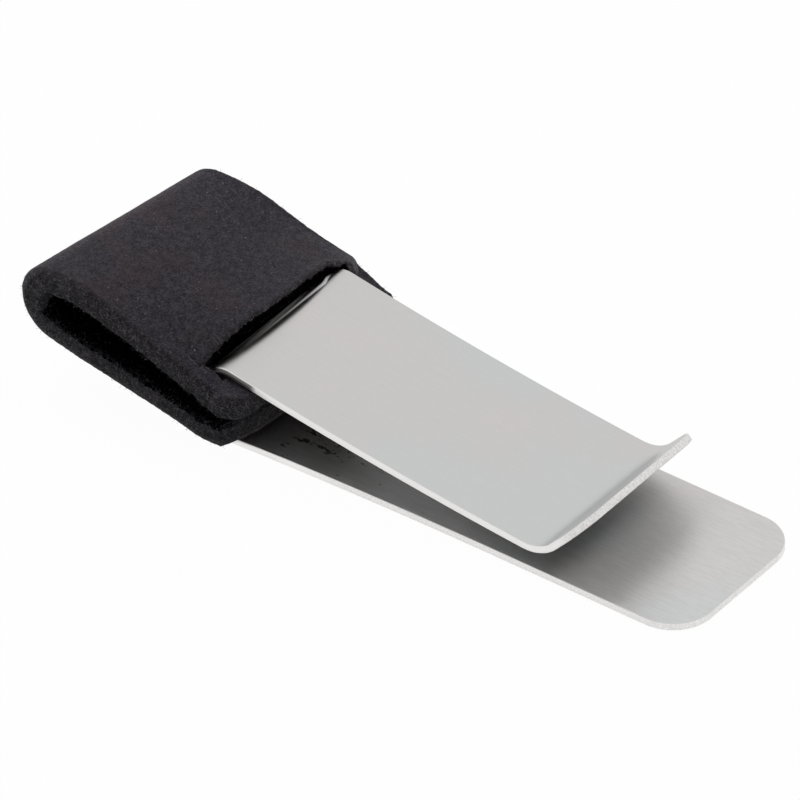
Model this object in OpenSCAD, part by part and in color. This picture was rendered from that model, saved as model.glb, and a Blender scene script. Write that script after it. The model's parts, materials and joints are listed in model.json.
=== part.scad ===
// Spring-steel clip with a folded leather loop.
// One steel strip is bent into a U: a long lower jaw, a tight bend and a shorter upper jaw that
// slopes down to a fold and ends in an upturned lip. One leather strip is folded into a flat loop,
// and the bend passes through a slot near each of its ends, so both ends lie between the jaws.
//
// The side profile is drawn in X and Z, +X from the bend towards the jaw tips. The clip stands on
// Z = 0 on the underside of its bend and the tip of its lower jaw.

/* [Steel strip] */
// Width of the strip
strip_w = 20; // [14:1:30]
// Thickness of the strip
strip_t = 0.8; // [0.6:0.1:1]
// Radius inside the two corners of the bend
bend_r = 2; // [1.6:0.1:2.6]
// Straight wall between the two corners of the bend
wall_h = 3.25; // [3:0.05:5]

/* [Lower jaw] */
// Length of the slightly bowed part, from the bend
lower_bow_len = 33.1; // [26:0.1:40]
// How far the bowed part turns down over its length, in degrees
lower_bow = 2.87; // [1:0.01:4]
// Length of the flat part, up to the tip
lower_flat_len = 21.9; // [16:0.1:30]
// Corner radius of the tip, seen from above
lower_corner_r = 4.6; // [1:0.1:6]

/* [Upper jaw] */
// Downward slope where the jaw leaves the bend, in degrees
upper_slope = 10.7; // [9.5:0.1:11.5]
// Length from the bend to the fold
upper_len = 35.7; // [30:0.1:37]
// How far the jaw levels out over that length, in degrees
upper_bow = 4.9; // [3:0.1:6]
// Radius of the fold, at mid thickness
fold_r = 4.5; // [2:0.1:6]
// Angle of the lip above the ground, in degrees
lip_angle = 47.2; // [30:0.1:60]
// Straight length of the lip past the fold
lip_len = 4.9; // [4:0.1:8]
// Corner radius of the lip, seen square on
lip_corner_r = 3.4; // [1:0.1:4]

/* [Leather strip] */
// Width of the leather
leather_w = 25; // [22:0.5:36]
// Thickness of the leather
leather_t = 2.7; // [2.2:0.1:2.8]
// How far the loop reaches behind the corners of the bend
loop_reach = 22.7; // [21:0.1:30]
// Rise of the top layer's end above the bend's upper corner centre, at mid thickness
top_rise = 5.95; // [5.6:0.05:7]
// Rise of the knee where the top layer levels out
top_knee_rise = 4.95; // [4.5:0.05:5.3]
// Length of the top layer from that knee to the back of the loop
top_level = 8.9; // [8.5:0.1:11]
// Rise of the bottom layer's end above the bend's lower corner centre, at mid thickness
bottom_rise = 2.9; // [2.5:0.05:3.2]
// Rise of the knee where the bottom layer levels out
bottom_knee_rise = 2.2; // [1.7:0.05:2.4]
// Length of the bottom layer from that knee to the back of the loop
bottom_level = 11.2; // [9:0.1:12]
// Bend radius of the two knees, at mid thickness
knee_r = 20; // [6:1:24]
// Bend radius where each layer turns into its tab, at mid thickness
tab_turn_r = 6; // [4:1:10]
// How far the two tabs reach between the jaws, past the corners of the bend
tab_reach = 3.6; // [3:0.1:6]
// Corner radius of the tabs, seen from above
tab_corner_r = 3; // [1:0.1:4]

/* [Leather arch] */
// Rise of the top layer over the bend, at mid width
arch_rise = 2.9; // [2.8:0.05:3]
// How far forward that rise carries the slot's edge, at mid width
arch_push = 1.2; // [1:0.05:1.25]
// How much thinner the leather is squeezed at that edge, from underneath
arch_thin = 0.6; // [0.5:0.05:0.9]
// Length behind the bend over which the arch dies out
arch_reach = 11.6; // [9:0.1:12]

/* [Fits] */
// Clearance between a leather tab and the jaw it lies against
tab_clear = 0.45; // [0.4:0.01:0.5]
// Clearance between each end of a slot and the strip's edge
slot_end_clear = 0.3; // [0.2:0.05:0.6]
// Clearance between a slot and the back of the bend
slot_back_clear = 0.7; // [0.65:0.05:1]
// How far a slot stops short of the bend's corner centres, in front
slot_front = 0.1; // [0:0.05:0.2]
// Slit between the bend and the upper jaw, with the jaw's pivot in its middle
pivot_slit = 0.1; // [0.08:0.01:0.15]

/* [Hidden] */
$fn = 96;
// a curve's facets turn by this much at most and are this long at most
facet_turn = 5;
facet_len = 4;
// a step that turns by less counts as straight
least_turn = 0.001;
// spare depth of a cut past the body that it cuts
spare = 1;
// the arched layer is cut into this many strips across, and into rows this long at most
arch_strips = 8;
arch_row_len = 1.3;

// ---- paths: a pose is [x, z, heading], a step is [length, left turn] ----

function along(h) = [cos(h), sin(h)];
function left(h) = [-sin(h), cos(h)];
function spot(p) = [p[0], p[1]];
function pose(at, h) = [at[0], at[1], h];
function arc_len(r, turn) = r * abs(turn) * PI / 180;
function shift_left(p, d) = spot(p) + d * left(p[2]);

// the pose after a step
function walk(p, step) =
    abs(step[1]) < least_turn
        ? pose(spot(p) + step[0] * along(p[2]), p[2])
        : let (r = step[0] / (step[1] * PI / 180), h = p[2] + step[1])
          pose(spot(p) + r * left(p[2]) - r * left(h), h);

// the poses along a path, with a curve cut into short facets
function walk_facets(p, step) =
    let (n = abs(step[1]) < least_turn
        ? 1
        : max(ceil(abs(step[1]) / facet_turn), ceil(step[0] / facet_len)))
    [for (i = [1:n]) walk(p, step * i / n)];
function trace(p, path, i = 0) =
    i == len(path)
        ? [p]
        : concat([p], [for (q = walk_facets(p, path[i])) if (q != walk(p, path[i])) q],
            trace(walk(p, path[i]), path, i + 1));

// the outline of a strip of thickness t whose middle follows the poses
function strip_outline(poses, t) = concat(
    [for (p = poses) shift_left(p, t / 2)],
    [for (i = [len(poses) - 1:-1:0]) shift_left(poses[i], -t / 2)]);

// ---- steel strip ----

bend_mid_r = bend_r + strip_t / 2;
bend_out_r = bend_r + strip_t;
lower_path = [[lower_bow_len, -lower_bow], [lower_flat_len, 0]];

// the tip's lower corner, from the centre of the bend's lower corner, if the jaw left it level
level_end = walk(walk([0, -bend_mid_r, 0], lower_path[0]), lower_path[1]);
level_tip = shift_left(level_end, -strip_t / 2);
// how steeply the lower jaw leaves the bend, so that the bend and the tip both touch Z = 0
lower_rise = asin(-bend_out_r / norm(level_tip)) - atan2(level_tip[1], level_tip[0]);

lower_centre = [0, bend_out_r];
upper_centre = lower_centre + [0, wall_h];
lower_root = pose(lower_centre - bend_mid_r * left(lower_rise), lower_rise);
upper_root = pose(upper_centre + bend_mid_r * left(-upper_slope), -upper_slope);
lower_tip = walk(walk(lower_root, lower_path[0]), lower_path[1]);

// the bend stops half a slit short of the pivot
upper_turn = 90 + upper_slope - pivot_slit / 2 / bend_mid_r * 180 / PI;
bend_path = [
    [arc_len(bend_mid_r, 90 + lower_rise), -(90 + lower_rise)],
    [wall_h, 0],
    [arc_len(bend_mid_r, upper_turn), -upper_turn],
];
lip_turn = lip_angle + upper_slope - upper_bow;
upper_path = [
    [upper_len, upper_bow],
    [arc_len(fold_r, lip_turn), lip_turn],
    [lip_len, 0],
];
upper_start = walk(upper_root, [pivot_slit / 2, 0]);
lip_end = walk(walk(walk(upper_start, upper_path[0]), upper_path[1]), upper_path[2]);

// ---- leather strip: corners with rounding radii, joined by straight stretches ----

// middle of each tab, against its jaw and at the bend's corner centres
tab_depth = tab_clear + leather_t / 2;
upper_tab_at = upper_centre + (bend_r - tab_depth) * left(-upper_slope);
lower_tab_at = lower_centre - (bend_r - tab_depth) * left(lower_rise);
// the tabs run past their cut ends, which the plan outline then trims
tab_run = tab_reach + leather_t;
loop_back = -loop_reach + leather_t / 2;

function angle_of(v) = atan2(v[1], v[0]);
function turn_between(a, b) = let (d = b - a) d - 360 * floor((d + 180) / 360);

loop_top = upper_centre[1] + top_rise;
top_end = [loop_back, loop_top];
top_knee = [top_level - loop_reach, upper_centre[1] + top_knee_rise];
bottom_end = [loop_back, lower_centre[1] + bottom_rise];
bottom_knee = [bottom_level - loop_reach, lower_centre[1] + bottom_knee_rise];
top_turn = turn_between(angle_of(top_end - top_knee), -90);
bottom_turn = turn_between(-90, angle_of(bottom_knee - bottom_end));
// the largest radius that rounds both corners of the folded end
loop_end_r = (top_end[1] - bottom_end[1]) / (tan(top_turn / 2) + tan(bottom_turn / 2));

leather_corners = [
    upper_tab_at + tab_run * along(-upper_slope),
    upper_tab_at,
    top_knee,
    top_end,
    bottom_end,
    bottom_knee,
    lower_tab_at,
    lower_tab_at + tab_run * along(lower_rise),
];
leather_radii = [0, tab_turn_r, knee_r, loop_end_r, loop_end_r, knee_r, tab_turn_r, 0];

function corner_heading(i) = angle_of(leather_corners[i + 1] - leather_corners[i]);
function corner_turn(i) = turn_between(corner_heading(i - 1), corner_heading(i));
function corner_trim(i) =
    leather_radii[i] == 0 ? 0 : leather_radii[i] * tan(abs(corner_turn(i)) / 2);
function corner_poses(i) =
    let (start = pose(leather_corners[i] - corner_trim(i) * along(corner_heading(i - 1)),
        corner_heading(i - 1)))
    concat([start],
        walk_facets(start, [arc_len(leather_radii[i], corner_turn(i)), corner_turn(i)]));

last_corner = len(leather_corners) - 1;
leather_poses = concat(
    [pose(leather_corners[0], corner_heading(0))],
    [for (i = [1:last_corner - 1]) each corner_poses(i)],
    [pose(leather_corners[last_corner], corner_heading(last_corner - 1))]);

// ---- leather arch: the slot's edge in the top layer climbs over the bend ----

slot_back = bend_out_r + slot_back_clear;
slot_w = strip_w + 2 * slot_end_clear;
// beside the slot, the layer starts to climb this far behind the corners of the bend
arch_front = 2 * strip_t;
// a height between the two layers, where they pass the slots
split_height = bottom_knee[1];

// the top slot's walls lean forward, square to the layer, from the tab's outer face up
wall_lean = 0.36;
wall_height = upper_centre[1] + bend_r - tab_clear;

// a smooth step from 0 to 1
function smooth(t) = t * t * (3 - 2 * t);
// the arch across the leather, 1 at mid width: its push is narrower than its rise
function push_across(y) = max(0, cos(180 * y / leather_w));
function rise_across(y) = pow(push_across(y), 0.6);

// how far the top layer has given way at this x, from 0 to 1 at the back of the bend
function arch_along(x) =
    x > -bend_out_r
        ? smooth(max(0, (-x - arch_front) / (bend_out_r - arch_front)))
        : pow(max(0, 1 + (x + bend_out_r) / arch_reach), 1.25);

// the poses from a up to b, no further apart than a row
function rows_between(a, b) =
    let (n = ceil(norm(spot(b) - spot(a)) / arch_row_len))
    [for (i = [0:n - 1]) pose(spot(a) + (spot(b) - spot(a)) * i / n, a[2])];

// the arched stretch runs from the tab's end to the first pose past the arch
arch_last = [for (i = [0:len(leather_poses) - 1])
    if (leather_poses[i][0] <= -bend_out_r - arch_reach) i][0];
arch_rows = concat(
    [for (i = [0:arch_last - 1]) each rows_between(leather_poses[i], leather_poses[i + 1])],
    [leather_poses[arch_last]]);
rest_poses = [for (i = [arch_last:len(leather_poses) - 1]) leather_poses[i]];

// a point of one face of the arched stretch, d to the left of its middle
function arch_point(p, y, d) =
    let (given = arch_along(p[0]), at = shift_left(p, d),
        rise = arch_rise + (d > 0 ? arch_thin * given : 0))
    [at[0] + arch_push * given * push_across(y), y, at[1] + rise * given * rise_across(y)];
function arch_face(d) = [for (p = arch_rows) for (j = [0:arch_strips])
    arch_point(p, leather_w * (j / arch_strips - 0.5), d)];

// ---- origin: the middle of the whole clip's box, on the ground ----

tip_top = shift_left(lower_tip, strip_t / 2);
origin_x = (tip_top[0] - loop_reach) / 2;

module in_place() translate([-origin_x, 0, 0]) children();

// the solid with this side outline, w wide and centred on Y = 0
module across(w) translate([0, w / 2, 0]) rotate([90, 0, 0]) linear_extrude(w) children();

// a rectangle from x = -length to x = 0, with its corners at x = 0 rounded
module rounded_end(length, w, r) {
    translate([-length, -w / 2]) square([length - r, w]);
    translate([-length, -w / 2 + r]) square([length, w - 2 * r]);
    for (side = [-1, 1])
        translate([-r, side * (w / 2 - r)]) circle(r);
}

// ---- sub-parts ----

// long jaw that lies underneath, gently bowed and then flat, with a rounded tip
module lower_jaw() color([0.76, 0.76, 0.75]) in_place() intersection() {
    across(strip_w) polygon(strip_outline(trace(lower_root, lower_path), strip_t));
    translate([tip_top[0], 0, -spare])
        linear_extrude(upper_centre[1] + spare)
            rounded_end(tip_top[0] + bend_out_r, strip_w, lower_corner_r);
}

// the bend that joins the jaws and springs them together
module spring_bend() color([0.7, 0.7, 0.7]) in_place() across(strip_w)
    polygon(strip_outline(trace(lower_root + [0, 0, 180], bend_path), strip_t));

// short jaw above, with its fold and its upturned lip
module upper_jaw() color([0.8, 0.8, 0.79]) in_place() intersection() {
    across(strip_w) polygon(strip_outline(trace(upper_start, upper_path), strip_t));
    union() {
        // the lip's rounded outline, square to the lip
        translate([lip_end[0], 0, lip_end[1]])
            rotate([0, -lip_angle, 0])
                translate([0, 0, -strip_t])
                    linear_extrude(2 * strip_t)
                        rounded_end(lip_len, strip_w, lip_corner_r);
        // everything before the lip
        translate([lip_end[0], 0, lip_end[1]])
            rotate([0, -lip_angle, 0])
                translate([-lip_len - 2 * upper_len, -strip_w / 2 - spare, -upper_len])
                    cube([2 * upper_len, strip_w + 2 * spare, 2 * upper_len]);
    }
}

// the arched stretch of the leather, as a slab between its outer and its inner face
module arched_layer() {
    across_n = arch_strips + 1;
    last_row = len(arch_rows) - 1;
    inner = len(arch_rows) * across_n;
    function at(i, j) = i * across_n + j;
    polyhedron(
        points = concat(arch_face(-leather_t / 2), arch_face(leather_t / 2)),
        faces = concat(
            [for (i = [0:last_row - 1]) for (j = [0:arch_strips - 1]) each [
                [at(i, j), at(i + 1, j), at(i + 1, j + 1)],
                [at(i, j), at(i + 1, j + 1), at(i, j + 1)],
                [inner + at(i, j), inner + at(i + 1, j + 1), inner + at(i + 1, j)],
                [inner + at(i, j), inner + at(i, j + 1), inner + at(i + 1, j + 1)],
            ]],
            [for (i = [0:last_row - 1]) each [
                [at(i, 0), inner + at(i, 0), inner + at(i + 1, 0), at(i + 1, 0)],
                [at(i, arch_strips), at(i + 1, arch_strips),
                    inner + at(i + 1, arch_strips), inner + at(i, arch_strips)],
            ]],
            [for (j = [0:arch_strips - 1]) each [
                [at(0, j), at(0, j + 1), inner + at(0, j + 1), inner + at(0, j)],
                [at(last_row, j), inner + at(last_row, j),
                    inner + at(last_row, j + 1), at(last_row, j + 1)],
            ]]));
}

// the top slot seen from above, with its back edge carried forward by the arch
module top_slot_plan() polygon(concat(
    [[-slot_front, slot_w / 2], [-slot_front, -slot_w / 2]],
    [for (j = [0:arch_strips])
        let (y = slot_w * (j / arch_strips - 0.5))
        [arch_push * push_across(y) - slot_back, y]]));

// leather strip folded into a flat loop, with a slot for the bend near each end
module leather_loop() color([0.13, 0.12, 0.13]) in_place() difference() {
    intersection() {
        union() {
            arched_layer();
            across(leather_w) polygon(strip_outline(rest_poses, leather_t));
        }
        translate([tab_reach, 0, -spare])
            linear_extrude(loop_top + leather_t + 2 * spare)
                rounded_end(tab_reach + loop_reach + spare, leather_w, tab_corner_r);
    }
    translate([-slot_back, -slot_w / 2, -spare])
        cube([slot_back - slot_front, slot_w, split_height + spare]);
    multmatrix([[1, 0, wall_lean, -wall_lean * wall_height], [0, 1, 0, 0], [0, 0, 1, 0]])
        translate([0, 0, split_height])
            linear_extrude(loop_top) top_slot_plan();
}

lower_jaw();
spring_bend();
upper_jaw();
leather_loop();
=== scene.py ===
"""Dresses the spring clip: one bent strip of brushed steel and one folded, slotted leather strip.

Every size is in millimetres in the clip's side profile: x runs forward from the corner centres of
the bend, z runs up from the ground. The profile's place in the frame comes from the jaw's hinge.
"""

import json
import logging
import math
from dataclasses import dataclass, field, replace
from enum import Enum
from typing import Callable, Sequence

import bpy
import numpy as np
from mathutils import Matrix, Vector, noise
from mathutils.kdtree import KDTree


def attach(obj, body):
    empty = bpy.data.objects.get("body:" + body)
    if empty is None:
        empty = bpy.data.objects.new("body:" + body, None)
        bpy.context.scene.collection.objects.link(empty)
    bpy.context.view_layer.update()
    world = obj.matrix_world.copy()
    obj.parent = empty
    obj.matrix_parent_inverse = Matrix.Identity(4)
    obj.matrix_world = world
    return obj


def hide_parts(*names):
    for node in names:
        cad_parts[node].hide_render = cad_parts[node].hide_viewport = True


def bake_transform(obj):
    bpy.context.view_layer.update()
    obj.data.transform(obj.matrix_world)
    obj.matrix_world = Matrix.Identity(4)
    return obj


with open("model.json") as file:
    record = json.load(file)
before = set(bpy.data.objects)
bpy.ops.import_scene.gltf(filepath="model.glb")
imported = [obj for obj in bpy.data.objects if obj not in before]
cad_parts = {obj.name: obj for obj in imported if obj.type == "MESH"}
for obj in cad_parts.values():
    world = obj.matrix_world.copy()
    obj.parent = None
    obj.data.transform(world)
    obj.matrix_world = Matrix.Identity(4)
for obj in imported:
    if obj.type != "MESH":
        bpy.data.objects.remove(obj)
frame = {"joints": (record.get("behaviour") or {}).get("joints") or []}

log = logging.getLogger("clip")
logging.basicConfig(level=logging.INFO, format="%(name)s: %(message)s")

MM = 0.001
TOUCH = 0.01
STEPS_PER_RADIAN = 40
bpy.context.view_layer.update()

Point = tuple[float, float]
Span = tuple[float, float]
Color = tuple[float, float, float]
Socket = bpy.types.NodeSocket
Mesh = bpy.types.Mesh


class Body(Enum):
    """The bodies of the clip that pieces ride on."""

    LOWER = "lower"
    UPPER = "upper"
    LOOP = "loop"


class Kind(Enum):
    """What a socket of a Geometry Nodes tree holds."""

    GEOMETRY = "NodeSocketGeometry"
    OBJECT = "NodeSocketObject"
    MATERIAL = "NodeSocketMaterial"
    FLOAT = "NodeSocketFloat"
    INT = "NodeSocketInt"


def add_object(name: str, data: bpy.types.ID) -> bpy.types.Object:
    """Adds an object to the scene."""
    made = bpy.data.objects.new(name, data)
    bpy.context.collection.objects.link(made)
    return made


# ---------------------------------------------------------------- side profile


@dataclass(frozen=True)
class Pose:
    """A place and a heading, in degrees, along a side profile."""

    x: float
    z: float
    heading: float

    def walked(self, length: float, turn: float) -> "Pose":
        """The pose after a stretch.

        Args:
            length: Length of the stretch.
            turn: How far it turns left over that length, in degrees.

        Returns:
            The pose at the stretch's end.
        """
        h = math.radians(self.heading)
        if abs(turn) < 1e-6:
            return Pose(self.x + length * math.cos(h), self.z + length * math.sin(h), self.heading)
        radius, end = length / math.radians(turn), h + math.radians(turn)
        return Pose(
            self.x + radius * (math.sin(end) - math.sin(h)),
            self.z + radius * (math.cos(h) - math.cos(end)),
            self.heading + turn,
        )

    def left(self, distance: float) -> Point:
        """The point that lies that far to the left of the pose."""
        h = math.radians(self.heading)
        return self.x - distance * math.sin(h), self.z + distance * math.cos(h)


@dataclass(frozen=True)
class Stretch:
    """A straight or evenly curved part of a path."""

    length: float
    turn: float = 0.0

    @staticmethod
    def bent(radius: float, turn: float) -> "Stretch":
        """A bend of that radius through that angle, in degrees."""
        return Stretch(radius * abs(math.radians(turn)), turn)


def path_poses(start: Pose, path: Sequence[Stretch], pitch: float) -> list[Pose]:
    """Walks along a path in short equal steps.

    Args:
        start: Where the path begins.
        path: Its stretches, in order.
        pitch: The longest step.

    Returns:
        The poses, from the start to the end.
    """
    poses = [start]
    for stretch in path:
        base, count = poses[-1], max(1, math.ceil(stretch.length / pitch))
        poses += [
            base.walked(stretch.length * i / count, stretch.turn * i / count)
            for i in range(1, count + 1)
        ]
    return poses


@dataclass(frozen=True)
class Profile:
    """Where the side profile lies in the frame."""

    origin_x: float

    @classmethod
    def from_hinge(cls, root_x: float) -> "Profile":
        """Places the profile by the jaw's hinge, which is at root_x in the profile."""
        hinge = next(j for j in frame["joints"] if j["name"] == "jaw_hinge")
        return cls(hinge["pos_m"][0] / MM - root_x)

    def placed(self, x: float, y: float, z: float) -> Vector:
        """A profile point in the frame, in metres."""
        return Vector((x + self.origin_x, y, z)) * MM


# ---------------------------------------------------------------- materials


class Nodes:
    """Adds nodes to a node tree."""

    prefix = ""

    def __init__(self, tree: bpy.types.NodeTree) -> None:
        """Takes the tree."""
        self.tree = tree

    def node(self, kind: str, inputs: dict | None = None, **settings) -> bpy.types.Node:
        """Adds a node.

        Args:
            kind: The node's type, without the builder's prefix.
            inputs: Socket name or number to a value or to another node's output.
            settings: The node's own settings.

        Returns:
            The node.
        """
        made = self.tree.nodes.new(self.prefix + kind)
        for key, value in settings.items():
            setattr(made, key, value)
        for key, value in (inputs or {}).items():
            self.feed(made.inputs[key], value)
        return made

    def feed(self, socket: Socket, value) -> None:
        """Links an output to a socket, or sets the socket's value."""
        if isinstance(value, Socket):
            self.tree.links.new(value, socket)
        elif socket.type == "RGBA":
            socket.default_value = (*value, 1)
        else:
            socket.default_value = value


@dataclass(frozen=True)
class Grain:
    """Fractal noise: its features per metre, its octaves and how much each octave adds."""

    scale: float
    detail: float = 2
    rough: float = 0.5


class Shader(Nodes):
    """Builds the node tree of one material, or of the world."""

    prefix = "ShaderNode"

    def __init__(self, owner: bpy.types.Material | bpy.types.World, output: str) -> None:
        """Starts an empty tree with an output.

        Args:
            owner: What the tree belongs to.
            output: The output node's type.
        """
        owner.use_nodes = True
        super().__init__(owner.node_tree)
        self.tree.nodes.clear()
        self.owner = owner
        self.output = self.node(output)

    @classmethod
    def material(cls, name: str) -> "Shader":
        """Starts a new material of that name."""
        return cls(bpy.data.materials.new(name), "OutputMaterial")

    def object_point(self) -> Socket:
        """The piece's own coordinates."""
        return self.node("TexCoord").outputs["Object"]

    def blank_point(self, scale: Color) -> Socket:
        """The UV map of a strip's flat blank, stretched by a scale."""
        point = self.node("UVMap", uv_map="blank").outputs["UV"]
        return self.node("Mapping", {"Vector": point, "Scale": scale}).outputs[0]

    def attribute(self, name: str) -> Socket:
        """A number stored on the piece's points."""
        return self.node("Attribute", attribute_name=name).outputs["Fac"]

    def noise(self, point: Socket, grain: Grain) -> Socket:
        """Fractal noise at a point, from 0 to 1."""
        inputs = {"Vector": point, "Scale": grain.scale, "Detail": grain.detail, "Roughness": grain.rough}
        return self.node("TexNoise", inputs).outputs["Fac"]

    def span(self, value, low: float, high: float, to_low: float = 0, to_high: float = 1) -> Socket:
        """Maps a range of a number onto another range, clamped at both ends."""
        return self.node(
            "MapRange",
            {"Value": value, "From Min": low, "From Max": high, "To Min": to_low, "To Max": to_high},
            interpolation_type="SMOOTHSTEP",
        ).outputs["Result"]

    def math(self, operation: str, a, b=0.0) -> Socket:
        """One sum on two numbers."""
        return self.node("Math", {0: a, 1: b}, operation=operation).outputs[0]

    def plus(self, a, b, share: float) -> Socket:
        """A number and a share of another one."""
        return self.math("ADD", a, self.math("MULTIPLY", b, share))

    def mix(self, share, a, b, blend: str = "MIX") -> Socket:
        """A colour between a and b."""
        made = self.node("Mix", {0: share, 6: a, 7: b}, data_type="RGBA", blend_type=blend)
        return made.outputs[2]

    def bump(self, height, depth: float, strength: float = 1.0, normal=None) -> Socket:
        """A normal tilted by a height.

        Args:
            height: The height, from 0 to 1.
            depth: What a height of 1 stands for, in metres.
            strength: How much of it shows.
            normal: A normal to start from.

        Returns:
            The tilted normal.
        """
        made = self.node("Bump", {"Height": height, "Distance": depth, "Strength": strength})
        if normal is not None:
            self.feed(made.inputs["Normal"], normal)
        return made.outputs[0]

    def seen(self) -> Socket:
        """1 for what the lens or a shiny surface sees, and 0 for the light that falls."""
        path = self.node("LightPath").outputs
        rays = path["Is Camera Ray"]
        for ray in ("Is Glossy Ray", "Is Transmission Ray"):
            rays = self.math("MAXIMUM", rays, path[ray])
        return rays

    def finish(self, surface: bpy.types.Node) -> bpy.types.Material | bpy.types.World:
        """Links the surface to the output and returns what the tree belongs to."""
        self.feed(self.output.inputs["Surface"], surface.outputs[0])
        return self.owner


@dataclass(frozen=True)
class PaintedHighlight:
    """A painted highlight: a dull white line across the crest of the bend, which curls back near the
    strip's far edge.

    Each pair is where a change begins and ends: across the strip, or off the line's middle.
    """

    curl_y: Span = (6.8, 8.6)
    curl: float = 0.5
    wide_y: Span = (2, 8)
    wider: float = 0.08
    half: Span = (0.06, 0.2)
    near_end: Span = (-6.5, 3.5)
    far_end: Span = (8.1, 8.9)

    def share(self, s: Shader, at: float) -> Socket:
        """How much of the line shows.

        Args:
            s: The material's shader.
            at: The line's place along the strip, in millimetres.

        Returns:
            The line's share, from 0 to 1.
        """
        place = s.node("SeparateXYZ", {0: s.blank_point((1 / MM, 1 / MM, 1))})
        across, along = place.outputs[0], place.outputs[1]
        curl = s.span(across, *self.curl_y, 0, self.curl)
        off = s.math("ABSOLUTE", s.math("ADD", s.math("SUBTRACT", along, at), curl))
        off = s.math("SUBTRACT", off, s.span(across, *self.wide_y, 0, self.wider))
        line = s.span(off, *self.half, 1, 0)
        ends = s.math("MULTIPLY", s.span(across, *self.near_end), s.span(across, *self.far_end, 1, 0))
        return s.math("MULTIPLY", line, ends)


@dataclass(frozen=True)
class BrushedSteel:
    """Stainless steel brushed along the strip, with sheared edges.

    A field that ends in edge is where a noise turns from one colour into the other.
    """

    name: str = "brushed_steel"
    face_cool: Color = (0.606, 0.612, 0.612)
    face_warm: Color = (0.628, 0.609, 0.6)
    # The white of the painted highlight on the bend; further down, how much rougher and less metallic
    # that highlight is.
    highlight_white: Color = (0.97, 0.97, 0.97)
    cut: Color = (0.93, 0.92, 0.91)
    cut_pit: Color = (0.68, 0.67, 0.66)
    stain: Color = (0.12, 0.115, 0.11)
    roughness: float = 0.40
    uneven: Span = (-0.015, 0.02)
    cut_rough: float = 0.12
    highlight_rough: float = 0.5
    highlight_matt: float = 0.9
    anisotropy: float = 0.85
    streak: float = 0.02
    stretch: Color = (1, 0.07, 1)
    fine: Grain = Grain(14000, 3, 0.6)
    coarse: Grain = Grain(3500)
    streak_edge: Span = (0.7, 1.3)
    patch: Grain = Grain(75)
    patch_edge: Span = (0.35, 0.65)
    speck: Grain = Grain(5200, 3, 0.7)
    speck_edge: Span = (0.3, 0.68)
    spots: Grain = Grain(1300, 4, 0.75)
    spot_stretch: Color = (1, 0.5, 1)
    spot_gain: float = 0.16
    spot_edge: Span = (0.69, 0.73)
    fine_depth: float = 1.5e-6
    pit_depth: float = 4e-5
    stains: bool = False
    painted_highlight: PaintedHighlight = PaintedHighlight()
    highlight_at: float = 0.0

    def face(self, s: Shader, fine, coarse) -> Socket:
        """The colour of the brushed face.

        Args:
            s: The material's shader.
            fine: The fine grain.
            coarse: The coarse grain.

        Returns:
            The colour, with the dye's specks where the strip has them.
        """
        patch = s.span(s.noise(s.object_point(), self.patch), *self.patch_edge)
        both = s.math("ADD", fine, coarse)
        streak = s.span(both, *self.streak_edge, 1 - self.streak, 1 + self.streak)
        shade = s.mix(1.0, s.mix(patch, self.face_warm, self.face_cool), streak, "MULTIPLY")
        if not self.stains:
            return shade
        spots = s.noise(s.blank_point(self.spot_stretch), self.spots)
        reach = s.attribute("stain")
        mark = s.span(s.plus(spots, reach, self.spot_gain), *self.spot_edge)
        return s.mix(s.math("MULTIPLY", mark, s.span(reach, 0, 0.3)), shade, self.stain)

    def material(self) -> bpy.types.Material:
        """Builds the material.

        Returns:
            The steel's material.
        """
        s = Shader.material(self.name)
        point = s.blank_point(self.stretch)
        fine, coarse = s.noise(point, self.fine), s.noise(point, self.coarse)
        speck = s.noise(s.object_point(), self.speck)
        cut, torn = s.attribute("cut_edge"), s.attribute("torn")
        pitted = s.mix(s.span(speck, *self.speck_edge), self.cut_pit, self.cut)
        color = s.mix(cut, self.face(s, fine, coarse), s.mix(torn, self.cut, pitted))
        rough = s.math("ADD", s.span(coarse, 0.3, 0.7, *self.uneven), self.roughness)
        rough = s.plus(rough, cut, self.cut_rough)
        metal = 1.0
        # Painted highlight: a white, rougher, less metallic line across the crest of the bend.
        if self.highlight_at:
            painted_highlight = self.painted_highlight.share(s, self.highlight_at)
            # Where the stored attribute marks the lower near edge by the leather, the colour is darkened.
            color = s.mix(s.attribute("stain"), s.mix(painted_highlight, color, self.highlight_white), self.stain)
            rough = s.plus(rough, painted_highlight, self.highlight_rough)
            metal = s.math("SUBTRACT", 1.0, s.math("MULTIPLY", painted_highlight, self.highlight_matt))
        normal = s.bump(fine, self.fine_depth, 0.4)
        normal = s.bump(s.math("MULTIPLY", speck, torn), self.pit_depth, 0.6, normal)
        shader = s.node(
            "BsdfPrincipled",
            {
                "Base Color": color,
                "Metallic": metal,
                "Roughness": rough,
                "Anisotropic": self.anisotropy,
                "Normal": normal,
                "Tangent": s.node("Tangent", direction_type="UV_MAP", uv_map="blank").outputs[0],
            },
        )
        return s.finish(shader)


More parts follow.
